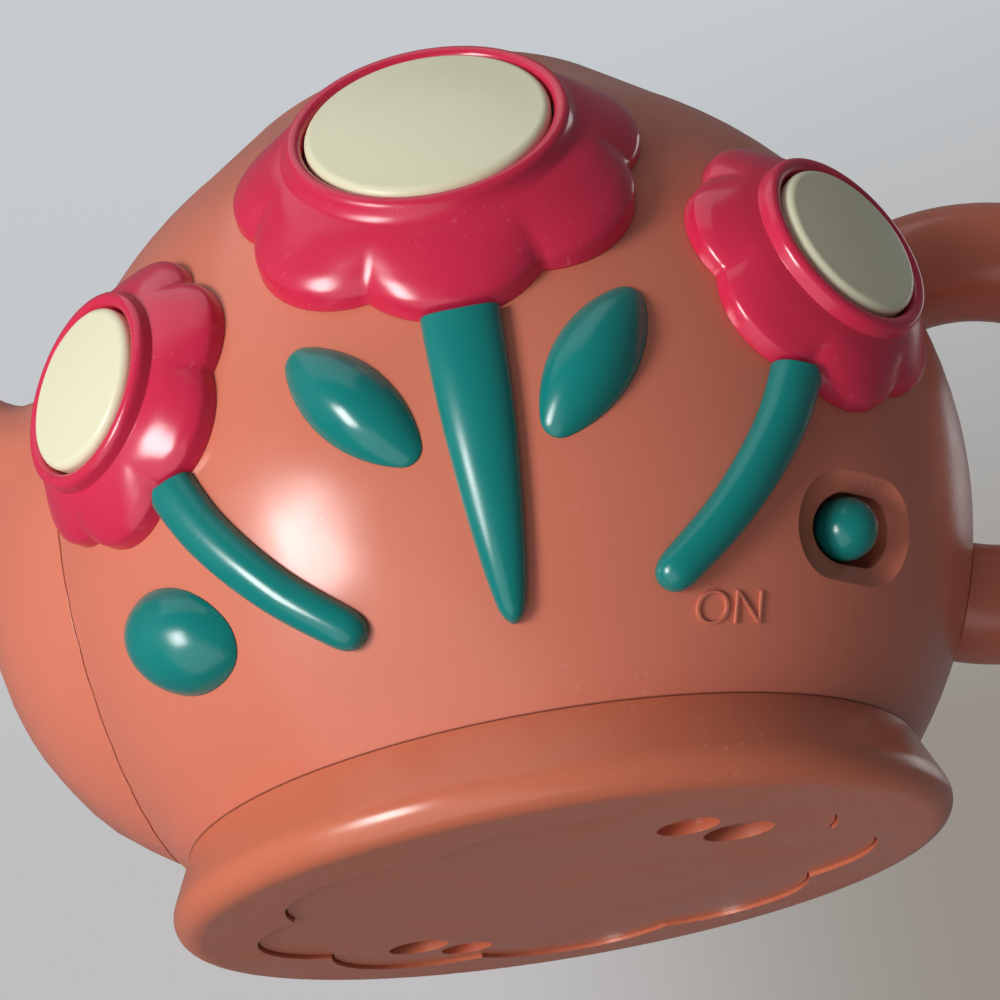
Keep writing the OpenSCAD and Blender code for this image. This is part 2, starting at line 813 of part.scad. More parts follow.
module side_flower(hand) {
    color(pink) difference() {
        union() {
            difference() {
                at_side(hand) petal_skirt(side_cap_radius, side_petal_tip, side_petal_round, side_rise);
                ball(seat_gap);
            }
            at_side(hand) flower_lip(side_cap_radius);
            at_side(hand) flower_collar(side_cap_radius);
        }
        at_side(hand) flower_bores(side_cap_radius);
    }
}

// Height of a button's domed face at a radius.
function cap_height(r) = cap_crown - cap_dome_radius + sqrt(cap_dome_radius * cap_dome_radius - r * r);

module button(cap) {
    color(cream) rotate_extrude($fn = fine) difference() {
        union() {
            intersection() {
                translate([0, cap_crown - cap_dome_radius]) circle(r = cap_dome_radius, $fn = ball_fine);
                translate([0, -flange_top - flange_thick]) square([cap, flange_top + flange_thick + overrun]);
            }
            translate([0, -flange_top - flange_thick]) square([cap + flange_step, flange_thick]);
            translate([0, -plunger_bottom]) square([plunger_radius, plunger_bottom - cap_thick / 2]);
        }
        translate([plunger_radius, -plunger_bottom])
            square([cap - cap_skirt - plunger_radius, plunger_bottom - cap_thick]);
        translate([cap - cap_round, cap_height(cap - cap_round) + cap_round_lift - cap_round]) difference() {
            square([cap_round + overrun, cap_round + overrun]);
            circle(r = cap_round, $fn = fine);
        }
    }
}

module dome() {
    low = board_depth - seat_gap;
    high = plunger_bottom + seat_gap;
    color(rubber_grey) rotate_extrude($fn = fine) polygon([[0, -high], [dome_pad_radius, -high],
        [dome_pad_radius, -high - dome_pad], [dome_flange_radius - dome_wall, -low + dome_flange],
        [dome_flange_radius, -low + dome_flange], [dome_flange_radius, -low],
        [dome_flange_radius - 2 * dome_wall, -low], [dome_pad_radius - dome_wall, -high - dome_pad],
        [0, -high - dome_pad]]);
}

module pad(cap) {
    color(board_green)
        drop(board_depth + seat_gap + board_thick, cap + board_step - peg_fit, board_thick, fine);
}

// Half width along a stem, and how its last share from round_share on is rounded off.
function stem_half(t, wide, tip, power) = (wide + (tip - wide) * pow(t, power)) / 2;
function stem_close(t, round_share) =
    sqrt(max(stem_blunt_share, 1 - pow(max(0, (t - round_share) / (1 - round_share)), 2)));

// A half-round strip that lies on the ball along a curve of turns and heights.
module strip(path, wide, tip, power, round_share) {
    spans = len(path) - 1;
    place = [for (i = [0 : stem_steps])
        let (s = sin(90 * i / stem_steps) * spans, k = min(floor(s), spans - 1))
        along(path, k, s - k)];
    points = [for (layer = [0, 1], i = [0 : stem_steps], j = [0 : stem_lanes])
        let (
            t = sin(90 * i / stem_steps),
            half = stem_half(t, wide, tip, power),
            close = stem_close(t, round_share),
            a = place[max(i - 1, 0)],
            b = place[min(i + 1, stem_steps)],
            p = place[i],
            r = skin_radius(p[1]),
            east = (b[0] - a[0]) * r * PI / 180,
            north = (b[1] - a[1]) / cos(skin_lean(p[1])),
            size = norm([east, north]),
            across = (2 * j / stem_lanes - 1),
            lateral = across * half * close,
            turn = p[0] - lateral * north / size / r * 180 / PI,
            height = p[1] + lateral * east / size * cos(skin_lean(p[1])),
            crown = close * (1 - stem_crown_share * (1 - 2 * half / wide)),
            rise = layer == 0 ? seat_gap
                : stem_edge + max(0, trim_rise * crown - stem_edge) * sqrt(max(0, 1 - across * across)))
        skin_point(turn, height, rise)];
    row = stem_lanes + 1;
    sheet = (stem_steps + 1) * row;
    top = [for (i = [0 : stem_steps - 1], j = [0 : stem_lanes - 1]) let (a = sheet + i * row + j)
        [[a, a + 1, a + row], [a + 1, a + row + 1, a + row]]];
    under = [for (i = [0 : stem_steps - 1], j = [0 : stem_lanes - 1]) let (a = i * row + j)
        [[a, a + row, a + 1], [a + 1, a + row, a + row + 1]]];
    edge = concat([for (j = [0 : stem_lanes]) j],
        [for (i = [1 : stem_steps]) i * row + stem_lanes],
        [for (j = [1 : stem_lanes]) stem_steps * row + stem_lanes - j],
        [for (i = [1 : stem_steps - 1]) (stem_steps - i) * row]);
    wall = [for (e = [0 : len(edge) - 1]) let (a = edge[e], b = edge[(e + 1) % len(edge)])
        [[a, b, a + sheet], [b, b + sheet, a + sheet]]];
    polyhedron(points,
        concat([for (f = top, g = f) g], [for (f = under, g = f) g], [for (f = wall, g = f) g]));
}

// Turn, height and radius of each trim peg in the front shell.
function trim_pegs() = [[0, stem_peg_high, peg_radius], [0, stem_peg_low, leaf_peg_radius],
    [side_stem_turns[2], side_stem_lower, leaf_peg_radius],
    [-side_stem_turns[2], side_stem_lower, leaf_peg_radius],
    [leaf_turn, leaf_height, leaf_peg_radius], [-leaf_turn, leaf_height, leaf_peg_radius],
    [-dot_turn, dot_height, peg_radius]];

module trim_peg(k) {
    t = trim_pegs()[k];
    on_skin(t[0], t[1]) drop(peg_length, t[2], peg_length + stem_edge, round_fine);
}

module main_stem() {
    color(teal) {
        difference() {
            strip([[0, stem_top], [0, (stem_top + stem_tip) / 2], [0, stem_tip]],
                main_stem_width, stem_tip_width, stem_taper_power, main_stem_round_share);
            at_main() petal_room(main_petal_tip, main_petal_round);
        }
        trim_peg(0);
        trim_peg(1);
    }
}

module side_stem(hand) {
    path = [for (k = [0 : len(side_stem_turns) - 1]) [hand * side_stem_turns[k], side_stem_heights[k]]];
    color(teal) {
        difference() {
            strip(path, side_stem_width, side_stem_width * side_stem_tip_share, 1, side_stem_round_share);
            at_side(hand) petal_room(side_petal_tip, side_petal_round);
        }
        trim_peg(hand > 0 ? 2 : 3);
    }
}

// A bead with its long axis along y and its crown at a height above z = 0.
module bead(length, width, end, rise) {
    reach = length / 2 - end;
    arc = (width * width / 4 + reach * reach - end * end) / (width - 2 * end);
    meet = reach * arc / (arc - end);
    translate([0, 0, rise - width / 2]) rotate([90, 0, 0]) rotate_extrude($fn = fine) intersection() {
        union() {
            intersection() {
                translate([width / 2 - arc, 0]) circle(r = arc, $fn = ball_fine);
                translate([0, -meet]) square([width, 2 * meet]);
            }
            for (side = [-1, 1])
                translate([0, side * reach]) circle(r = end, $fn = fine);
        }
        translate([0, -length]) square([width, 2 * length]);
    }
}

module leaf(hand) {
    color(teal) {
        difference() {
            on_skin(hand * leaf_turn, leaf_height) rotate([0, 0, -hand * leaf_lean])
                bead(leaf_length, leaf_width, leaf_end, trim_rise);
            ball(seat_gap);
        }
        trim_peg(hand > 0 ? 4 : 5);
    }
}

module dot() {
    color(teal) {
        difference() {
            on_skin(-dot_turn, dot_height) rotate([0, 0, dot_lean])
                bead(dot_length, dot_width, dot_end, dot_rise);
            ball(seat_gap);
        }
        trim_peg(6);
    }
}

module at_knob() {
    on_skin(knob_turn, knob_height) children();
}

// A slot with round ends along the knob's way, its knob at rest over the origin.
module round_slot(radius, room, depth, length) {
    for (x = [-room, switch_travel])
        translate([x, 0, 0]) drop(depth, radius, length, fine);
    translate([-room, -radius, -depth]) cube([switch_travel + room, 2 * radius, length]);
}

module scoop() {
    at_knob() {
        for (side = [-1, 1])
            translate([side * scoop_spread, 0, scoop_radius - scoop_depth])
                sphere(r = scoop_radius, $fn = fine);
        translate([-scoop_spread, 0, scoop_radius - scoop_depth]) rotate([0, 90, 0])
            cylinder(r = scoop_radius, h = 2 * scoop_spread, $fn = fine);
        round_slot(slot_radius, slot_room, far / 16, far / 8);
    }
}

module switch_knob() {
    color(teal) at_knob() {
        translate([0, 0, knob_rise - knob_radius]) sphere(r = knob_radius, $fn = fine);
        drop(scoop_boss_depth + slider_depth - slip_gap, knob_neck_radius,
            scoop_boss_depth + slider_depth - slip_gap + knob_rise - knob_radius, fine);
    }
}

module switch_body() {
    color(grey) at_knob() difference() {
        translate([(switch_travel - switch_length) / 2, -switch_width / 2,
            -scoop_boss_depth - seat_gap - switch_thick]) cube([switch_length, switch_width, switch_thick]);
        round_slot(knob_neck_radius + slip_gap, 0, scoop_boss_depth + slider_depth, far / 8);
    }
}

module battery_box() {
    color(coral_foot) {
        difference() {
            box_cut(box_wall, recess_top + seat_gap, box_top);
            box_cut(0, 0, box_roof);
        }
        box_frame() for (x = [-1, 1], y = [-1, 1])
            translate([x * board_post_x, y * board_post_y, box_top - box_wall / 2])
                cylinder(r = board_post_radius, h = board_post_height + box_wall / 2, $fn = round_fine);
    }
}

module cell(k) {
    way = k == 0 ? -1 : 1;
    color(cell_blue) box_frame() translate([0, k * cell_pitch, cell_mid]) rotate([0, 90 * way, 0]) {
        translate([0, 0, -cell_length / 2])
            cylinder(d = cell_diameter, h = cell_length - nub_length, $fn = fine);
        cylinder(r = nub_radius, h = cell_length / 2, $fn = round_fine);
    }
}

module contact(side) {
    color(steel) box_frame() mirror([side > 0 ? 0 : 1, 0, 0]) {
        translate([cell_length / 2 + seat_gap + contact_bump, -box_width / 2 + cell_clear,
            cell_bottom + contact_drop])
            cube([contact_thick, box_width - 2 * cell_clear, cell_diameter - contact_drop]);
        for (k = [-1 : 1])
            translate([cell_length / 2 + seat_gap, k * cell_pitch, cell_mid]) rotate([0, 90, 0])
                cylinder(r = contact_bump_radius, h = contact_bump + contact_thick / 2, $fn = round_fine);
    }
}

module sound_board() {
    base = box_top + board_post_height + seat_gap;
    color(board_green) box_frame() {
        translate([-board_length / 2, -board_width / 2, base]) cube([board_length, board_width, board_thick]);
        translate([-chip_size / 2, -chip_size / 2, base])
            cube([chip_size, chip_size, board_thick + chip_height]);
        translate([can_x, 0, base]) cylinder(r = can_radius, h = board_thick + can_height, $fn = round_fine);
    }
}

module speaker() {
    color(grey) translate([0, speaker_seat_y - seat_gap, speaker_height]) rotate([90, 0, 0]) {
        cylinder(r = speaker_radius, h = speaker_frame, $fn = fine);
        translate([0, 0, speaker_frame - overrun])
            cylinder(r1 = speaker_cone_radius, r2 = speaker_magnet_radius,
                h = speaker_back - speaker_frame + overrun, $fn = fine);
        translate([0, 0, speaker_back - overrun])
            cylinder(r = speaker_magnet_radius, h = speaker_magnet + overrun, $fn = fine);
    }
}

front_shell();
rear_shell();
spout();
handle();
lid();
lid_knob();
mouth_cup();
foot();
underside_cover();
cover_screw(0);  // cover_screw_front
cover_screw(1);  // cover_screw_rear
foot_screw(-1, 1);  // foot_screw_1
foot_screw(-1, -1);  // foot_screw_2
foot_screw(1, 1);  // foot_screw_3
foot_screw(1, -1);  // foot_screw_4
shell_screw(-1, shell_screw_spots[0]);  // shell_screw_1
shell_screw(1, shell_screw_spots[0]);  // shell_screw_2
shell_screw(-1, shell_screw_spots[1]);  // shell_screw_3
shell_screw(1, shell_screw_spots[1]);  // shell_screw_4
main_flower();
side_flower(-1);  // left_flower
side_flower(1);  // right_flower
at_main() button(main_cap_radius);  // main_button
at_side(-1) button(side_cap_radius);  // left_button
at_side(1) button(side_cap_radius);  // right_button
at_main() dome();  // main_dome
at_side(-1) dome();  // left_dome
at_side(1) dome();  // right_dome
at_main() pad(main_cap_radius);  // main_pad
at_side(-1) pad(side_cap_radius);  // left_pad
at_side(1) pad(side_cap_radius);  // right_pad
main_stem();
side_stem(-1);  // left_stem
side_stem(1);  // right_stem
leaf(-1);  // left_leaf
leaf(1);  // right_leaf
dot();
switch_knob();
switch_body();
battery_box();
cell(-1);  // cell_1
cell(0);  // cell_2
cell(1);  // cell_3
contact(1);  // contact_plus
contact(-1);  // contact_minus
sound_board();
speaker();
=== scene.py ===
import json
import math

import bmesh
import bpy
from mathutils import Matrix, Vector


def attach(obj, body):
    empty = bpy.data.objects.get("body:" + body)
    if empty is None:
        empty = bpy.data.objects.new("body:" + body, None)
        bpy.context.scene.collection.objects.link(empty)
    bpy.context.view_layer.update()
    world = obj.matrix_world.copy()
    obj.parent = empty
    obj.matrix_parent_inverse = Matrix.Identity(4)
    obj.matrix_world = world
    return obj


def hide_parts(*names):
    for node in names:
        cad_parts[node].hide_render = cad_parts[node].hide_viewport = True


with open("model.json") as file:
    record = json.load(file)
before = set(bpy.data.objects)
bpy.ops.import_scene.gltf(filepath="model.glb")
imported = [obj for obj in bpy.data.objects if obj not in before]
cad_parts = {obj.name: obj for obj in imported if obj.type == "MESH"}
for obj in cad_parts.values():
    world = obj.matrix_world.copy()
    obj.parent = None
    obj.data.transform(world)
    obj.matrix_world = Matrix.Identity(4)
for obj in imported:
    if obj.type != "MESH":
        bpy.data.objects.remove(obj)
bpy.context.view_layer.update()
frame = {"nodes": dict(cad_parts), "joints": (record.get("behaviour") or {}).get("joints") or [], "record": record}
nodes = frame["nodes"]
joints = {j["name"]: j for j in frame["joints"]}
mm = 0.001
weld = 0.002 * mm
print("frame loaded:", len(nodes), "nodes")


def linear(hexColour):
    parts = [int(hexColour[i:i + 2], 16) / 255 for i in (1, 3, 5)]
    return [p / 12.92 if p <= 0.04045 else ((p + 0.055) / 1.055) ** 2.4 for p in parts] + [1]


def addNode(tree, kind, inputs=None, **settings):
    node = tree.nodes.new(kind)
    for name, value in settings.items():
        setattr(node, name, value)
    for name, value in (inputs or {}).items():
        socket = node.inputs[name]
        if isinstance(value, bpy.types.NodeSocket):
            tree.links.new(value, socket)
        else:
            socket.default_value = value
    return node


# Moulded gloss ABS: one colour right through, a skin that is nearly a mirror but a little
# wavy from the tool, hairline rubs from play, dust that dulls it in patches, and a painted shadow line along any
# seam.
def mouldedAbs(name, colour, shade, rubbed, roughness, shadowSeams=()):
    look = {
        "ior": 1.53,
        "mottleSize": 26 * mm,
        "mottleRoughness": 0.55,
        "waveSize": 7 * mm,
        "waveDepth": 0.018 * mm,
        "grainSize": 0.55 * mm,     # real tool grain is finer, drawn coarse enough to show
        "grainDepth": 0.0016 * mm,
        "rubLength": 9 * mm,
        "rubWidth": 0.22 * mm,
        "rubSlant": (0.5, 0.35, 0.6),
        "rubScale": 0.35,
        "rubFrom": 0.66,
        "rubFull": 0.74,
        "rubTint": 0.35,
        "rubDulls": 0.18,
        "patchSize": 16 * mm,
        "patchFrom": 0.5,
        "patchFull": 0.72,
        "dustFrom": 0.3,
        "dustFull": 0.75,
        "polish": 0.07,
        "dust": 0.12,
        "edgeRound": 0.15 * mm,
        # painted shadow along a seam: half width, soft edge, strength and colour of the dark line
        "seamHalf": 0.05 * mm,
        "seamSoft": 0.1 * mm,
        "seamShade": 0.5,
        "seamShadowColour": "#5A2418",
    }
    material = bpy.data.materials.new(name)
    material.use_nodes = True
    tree = material.node_tree
    tree.nodes.clear()
    place = addNode(tree, "ShaderNodeTexCoord").outputs["Object"]
    mottle = addNode(tree, "ShaderNodeTexNoise", {
        "Vector": place, "Scale": 1 / look["mottleSize"], "Detail": 4,
        "Roughness": look["mottleRoughness"]})
    tint = addNode(tree, "ShaderNodeMix", {
        "Factor": mottle.outputs["Fac"], "A": linear(shade), "B": linear(colour)},
        data_type="RGBA").outputs["Result"]
    # hairline rubs: noise drawn out along a slanted direction, kept only where it peaks
    lay = addNode(tree, "ShaderNodeMapping", {
        "Vector": place, "Rotation": look["rubSlant"],
        "Scale": (1 / look["rubWidth"], 1 / look["rubLength"], 1 / look["rubWidth"])}).outputs["Vector"]
    lines = addNode(tree, "ShaderNodeTexNoise", {"Vector": lay, "Scale": look["rubScale"], "Detail": 2})
    patches = addNode(tree, "ShaderNodeTexNoise", {
        "Vector": place, "Scale": 1 / look["patchSize"], "Detail": 3})
    rub = addNode(tree, "ShaderNodeMapRange", {
        "Value": lines.outputs["Fac"],
        "From Min": look["rubFrom"], "From Max": look["rubFull"]}).outputs["Result"]
    patch = addNode(tree, "ShaderNodeMapRange", {
        "Value": patches.outputs["Fac"],
        "From Min": look["patchFrom"], "From Max": look["patchFull"]}).outputs["Result"]
    worn = addNode(tree, "ShaderNodeMath", {0: rub, 1: patch}, operation="MULTIPLY").outputs["Value"]
    faint = addNode(tree, "ShaderNodeMath", {
        0: worn, 1: look["rubTint"]}, operation="MULTIPLY").outputs["Value"]
    tint = addNode(tree, "ShaderNodeMix", {
        "Factor": faint, "A": tint, "B": linear(rubbed)}, data_type="RGBA").outputs["Result"]
    # painted shadow: a dark line drawn where a seam runs round the toy at a height, standing in for the shade in
    # the gap between the parts
    for height in shadowSeams:
        up = addNode(tree, "ShaderNodeSeparateXYZ", {"Vector": place}).outputs["Z"]
        away = addNode(tree, "ShaderNodeMath", {0: up, 1: height}, operation="SUBTRACT").outputs["Value"]
        near = addNode(tree, "ShaderNodeMath", {0: away}, operation="ABSOLUTE").outputs["Value"]
        line = addNode(tree, "ShaderNodeMapRange", {
            "Value": near, "From Min": look["seamHalf"], "From Max": look["seamHalf"] + look["seamSoft"],
            "To Min": look["seamShade"], "To Max": 0}).outputs["Result"]
        tint = addNode(tree, "ShaderNodeMix", {
            "Factor": line, "A": tint, "B": linear(look["seamShadowColour"])},
            data_type="RGBA").outputs["Result"]
    dull = addNode(tree, "ShaderNodeMapRange", {
        "Value": patches.outputs["Fac"], "From Min": look["dustFrom"], "From Max": look["dustFull"],
        "To Min": roughness - look["polish"], "To Max": roughness + look["dust"]}).outputs["Result"]
    dull = addNode(tree, "ShaderNodeMath", {
        0: worn, 1: look["rubDulls"], 2: dull}, operation="MULTIPLY_ADD").outputs["Value"]
    wave = addNode(tree, "ShaderNodeTexNoise", {
        "Vector": place, "Scale": 1 / look["waveSize"], "Detail": 1}).outputs["Fac"]
    grain = addNode(tree, "ShaderNodeTexNoise", {
        "Vector": place, "Scale": 1 / look["grainSize"], "Detail": 2}).outputs["Fac"]
    rounded = addNode(tree, "ShaderNodeBevel", {"Radius": look["edgeRound"]}, samples=4).outputs["Normal"]
    broad = addNode(tree, "ShaderNodeBump", {
        "Height": wave, "Strength": 1, "Distance": look["waveDepth"], "Normal": rounded}).outputs["Normal"]
    fine = addNode(tree, "ShaderNodeBump", {
        "Height": grain, "Strength": 1, "Distance": look["grainDepth"], "Normal": broad}).outputs["Normal"]
    skin = addNode(tree, "ShaderNodeBsdfPrincipled", {
        "Base Color": tint, "Roughness": dull, "Normal": fine, "IOR": look["ior"]})
    addNode(tree, "ShaderNodeOutputMaterial", {"Surface": skin.outputs["BSDF"]})
    return material


# Plain parts that stay inside or under the toy: zinc-plated steel, green lacquered
# laminate, silicone rubber, matt black plastic and a printed cell sleeve.
def plainPart(name, colour, shade, roughness, metallic, patternSize):
    look = {
        "ior": 1.5,
        "dullSpread": 0.08,
        "bumpStrength": 0.3,
        "bumpDepth": 0.02 * mm,
    }
    material = bpy.data.materials.new(name)
    material.use_nodes = True
    tree = material.node_tree
    tree.nodes.clear()
    place = addNode(tree, "ShaderNodeTexCoord").outputs["Object"]
    cloud = addNode(tree, "ShaderNodeTexNoise", {"Vector": place, "Scale": 1 / patternSize, "Detail": 5})
    tint = addNode(tree, "ShaderNodeMix", {
        "Factor": cloud.outputs["Fac"], "A": linear(shade), "B": linear(colour)},
        data_type="RGBA").outputs["Result"]
    dull = addNode(tree, "ShaderNodeMapRange", {
        "Value": cloud.outputs["Fac"],
        "To Min": roughness - look["dullSpread"], "To Max": roughness + look["dullSpread"]})
    bump = addNode(tree, "ShaderNodeBump", {
        "Height": cloud.outputs["Fac"], "Strength": look["bumpStrength"], "Distance": look["bumpDepth"]})
    skin = addNode(tree, "ShaderNodeBsdfPrincipled", {
        "Base Color": tint, "Roughness": dull.outputs["Result"], "Normal": bump.outputs["Normal"],
        "Metallic": metallic, "IOR": look["ior"]})
    addNode(tree, "ShaderNodeOutputMaterial", {"Surface": skin.outputs["BSDF"]})
    return material


# the body and the foot meet at this height, and a painted shadow line is drawn along it on both
seamHeight = 9.8 * mm
finishes = {
    "coral": mouldedAbs("coralAbs", "#DE7E65", "#D9785F", "#EBA38F", 0.25, [seamHeight]),
    # the foot's coral is a little more orange than the body's, and is also made darker than it as painted shade
    # for the shaded foot band
    "coral_foot": mouldedAbs("coralFootAbs", "#D67658", "#CF6F51", "#EDA58C", 0.26, [seamHeight]),
    "pink": mouldedAbs("pinkAbs", "#DA2C50", "#D32649", "#F07C96", 0.2),
    "cream": mouldedAbs("creamAbs", "#EFECCB", "#EBE7C4", "#F4F2E2", 0.32),
    "teal": mouldedAbs("tealAbs", "#06857F", "#057B76", "#4FA29C", 0.24),
    "steel": plainPart("zincPlatedSteel", "#B9BCC0", "#9EA2A6", 0.35, 1, 4 * mm),
    "rubber": plainPart("siliconeRubber", "#8D8D88", "#7D7D78", 0.62, 0, 3 * mm),
    "board": plainPart("greenLaminate", "#2E6B3A", "#275C32", 0.4, 0, 5 * mm),
    "dark": plainPart("blackStyrene", "#3C3C3C", "#303030", 0.5, 0, 4 * mm),
    "cell": plainPart("cellSleeve", "#3A5E8C", "#33547E", 0.3, 0, 8 * mm),
}
slotOf = {s["node"]: s["material_slot"] for s in frame["record"]["subparts"]}
for name, piece in nodes.items():
    piece.data.materials.clear()
    piece.data.materials.append(finishes[slotOf[name]])
print("finishes made:", len(finishes))


body = {
    "radius": 57.6 * mm,
    "midHeight": 46 * mm,
    "bellyRadius": 54.6 * mm,
    "seatGap": 0.05 * mm,
}


def skinRadius(z):
    up = z - body["midHeight"]
    if up > 0:
        return math.sqrt(body["radius"] ** 2 - up ** 2)
    return body["radius"] - body["bellyRadius"] + math.sqrt(body["bellyRadius"] ** 2 - up ** 2)


def skinLean(z):
    up = z - body["midHeight"]
    return math.asin(up / (body["radius"] if up > 0 else body["bellyRadius"]))


def skinPoint(turn, z, rise):
    r = skinRadius(z) + rise * math.cos(skinLean(z))
    return Vector((r * math.sin(turn), -r * math.cos(turn), z + rise * math.sin(skinLean(z))))


# how far a point lies outside the ball
def skinDistance(p):
    up = p.z - body["midHeight"]
    across = math.hypot(p.x, p.y)
    if up > 0:
        return math.hypot(across, up) - body["radius"]
    offset = body["radius"] - body["bellyRadius"]
    return math.hypot(across - offset, up) - body["bellyRadius"]


# the button's joint gives the flower's place: its face centre, and the axis that it is pressed along
def flowerFrame(jointName):
    joint = joints[jointName]
    out = -Vector(joint["axis"]).normalized()
    side = Vector((0, 0, 1)).cross(out).normalized()
    up = out.cross(side)
    centre = Vector(joint["pos_m"])
    return Matrix.Translation(centre) @ Matrix((side, up, out)).transposed().to_4x4()


def curveThrough(values, t):
    spans = len(values) - 1
    s = min(max(t, 0), 1) * spans
    k = min(int(s), spans - 1)
    f = s - k
    a, b, c, d = (values[min(max(k + i, 0), spans)] for i in (-1, 0, 1, 2))
    return 0.5 * (2 * b + (c - a) * f + (2 * a - 5 * b + 4 * c - d) * f * f
                  + (3 * b - a - 3 * c + d) * f ** 3)


def makePiece(name, bm, slot, bodyName, replaced, sharpAngle):
    bmesh.ops.recalc_face_normals(bm, faces=bm.faces)
    mesh = bpy.data.meshes.new(name)
    bm.to_mesh(mesh)
    bm.free()
    for face in mesh.polygons:
        face.use_smooth = True
    mesh.set_sharp_from_angle(angle=math.radians(sharpAngle))
    mesh.materials.append(finishes[slot])
    piece = bpy.data.objects.new(name, mesh)
    bpy.context.scene.collection.objects.link(piece)
    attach(piece, bodyName)
    if replaced:
        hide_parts(*replaced)
    return piece


flower = {
    "petals": 7,
    "stepsPerPetal": 24,
    "lipGap": 0.3 * mm,
    "lipWidth": 1.7 * mm,
    "lipDrop": 0.25 * mm,
    "lipBottom": 3.6 * mm,
    "valleyDrop": 1.5 * mm,
    "rim": 1.5 * mm,
    "collarStep": 2.9 * mm,
    "wellStep": 1.4 * mm,
    "boardStep": 1.9 * mm,
    "boardDepth": 10 * mm,
    "collarDepth": 14.5 * mm,
    "outShares": [0, 0.2, 0.4, 0.58, 0.73, 0.85, 0.94, 0.985, 1],
    "dropShares": [0, 0.13, 0.27, 0.43, 0.58, 0.71, 0.84, 0.93, 1],
    "lobeShares": [0, 0.02, 0.15, 0.36, 0.58, 0.77, 0.9, 0.97, 1],
    "underShares": [0, 0.02, 0.5, 1],
    "seatTries": 30,
    "skirtRows": 30,
    "beadRows": 12,
    "placeDigits": 9,
    "sharpAngle": 55,
}
sideFlower = {"cap": 8.8 * mm, "tip": 16.1 * mm, "round": 8.2 * mm, "rise": 5.1 * mm}
flowers = {
    "main": {"cap": 12.6 * mm, "tip": 21.8 * mm, "round": 11 * mm, "rise": 4.4 * mm},
    "left": sideFlower,
    "right": sideFlower,
}


# radius of the scalloped edge, counted from the petal that points down
def petalEdge(turn, tip, rounding):
    span = 2 * math.pi / flower["petals"]
    off = turn - span * round(turn / span)
    ring = tip - rounding
    return ring * math.cos(off) + math.sqrt(rounding ** 2 - (ring * math.sin(off)) ** 2)


# one profile from the well up over the lip bead, down the petal and back under it
def flowerProfile(size, turn, place):
    cap = size["cap"]
    inner = cap + flower["lipGap"]
    half = flower["lipWidth"] / 2
    beadMid = inner + half
    beadDrop = flower["lipDrop"] + half
    drop = size["rise"] + body["radius"] - math.sqrt(body["radius"] ** 2 - size["tip"] ** 2)
    low = drop - flower["rim"]
    edge = petalEdge(turn, size["tip"], size["round"])
    path = [(inner, flower["lipBottom"]), (inner, (flower["lipBottom"] + beadDrop) / 2)]
    for i in range(flower["beadRows"] + 1):
        a = math.pi * (1 - i / flower["beadRows"])
        path.append((beadMid + half * math.cos(a), beadDrop - half * math.sin(a)))
    for i in range(flower["skirtRows"] + 1):
        t = i / flower["skirtRows"]
        r = beadMid + (size["tip"] - beadMid) * curveThrough(flower["outShares"], t)
        r -= (size["tip"] - edge) * curveThrough(flower["lobeShares"], t)
        z = flower["valleyDrop"] + (low - flower["valleyDrop"]) * curveThrough(flower["dropShares"], t)
        if r > inner + flower["lipWidth"]:
            path.append((r, z))
    # down to the ball, then inwards just above it to the collar
    direction = Vector((math.cos(turn - math.pi / 2), math.sin(turn - math.pi / 2), 0))
    collar = cap + flower["collarStep"]
    for share in flower["underShares"]:
        r = path[-1][0] if share == 0 else edge + (collar - edge) * share
        z = 0
        for _ in range(flower["seatTries"]):
            gap = skinDistance(place @ (direction * r + Vector((0, 0, -z)))) - body["seatGap"]
            z += gap
        path.append((r, z))
    path += [
        (collar, flower["collarDepth"]), (cap + flower["boardStep"], flower["collarDepth"]),
        (cap + flower["boardStep"], flower["boardDepth"]), (cap + flower["wellStep"], flower["boardDepth"]),
        (cap + flower["wellStep"], flower["lipBottom"]), (inner, flower["lipBottom"]),
    ]
    return path


def petalFlower(which):
    size = flowers[which]
    place = flowerFrame(which + "_button_press")
    count = flower["petals"] * flower["stepsPerPetal"]
    bm = bmesh.new()
    ring = bmesh.ops.create_circle(bm, segments=count, radius=size["cap"])["verts"]
    turns = {v: math.atan2(v.co.y, v.co.x) + math.pi / 2 for v in ring}
    profiles = {v: flowerProfile(size, turns[v], place) for v in ring}
    rows = min(len(p) for p in profiles.values())
    edges = list(bm.edges)
    columns = {v: v for v in ring}
    lastBeadRow = flower["beadRows"] + 2    # the bead comes after two rows up the well's wall

    # an extruded corner starts on the old one, which is how it finds its column
    def spot(v):
        return tuple(round(c, flower["placeDigits"]) for c in v.co)

    def setRow(row):
        for v, first in columns.items():
            path = profiles[first]
            # a longer column leaves out its first skirt rows, so that all end together
            r, z = path[row + len(path) - rows] if row > lastBeadRow else path[row]
            turn = turns[first] - math.pi / 2
            v.co = (r * math.cos(turn), r * math.sin(turn), -z)

    setRow(0)
    for row in range(1, rows):
        made = bmesh.ops.extrude_edge_only(bm, edges=edges)["geom"]
        fresh = [v for v in made if isinstance(v, bmesh.types.BMVert)]
        old = {spot(v): first for v, first in columns.items()}
        columns = {v: old[spot(v)] for v in fresh}
        freshSet = set(fresh)
        edges = [e for e in made if isinstance(e, bmesh.types.BMEdge)
                 and e.verts[0] in freshSet and e.verts[1] in freshSet]
        setRow(row)
    bmesh.ops.remove_doubles(bm, verts=bm.verts, dist=weld)
    bmesh.ops.transform(bm, matrix=place, verts=bm.verts)
    return makePiece(which + "PetalFlower", bm, "pink", "pot", [which + "_flower"], flower["sharpAngle"])


for which in flowers:
    petalFlower(which)
print("flowers made:", len(flowers))


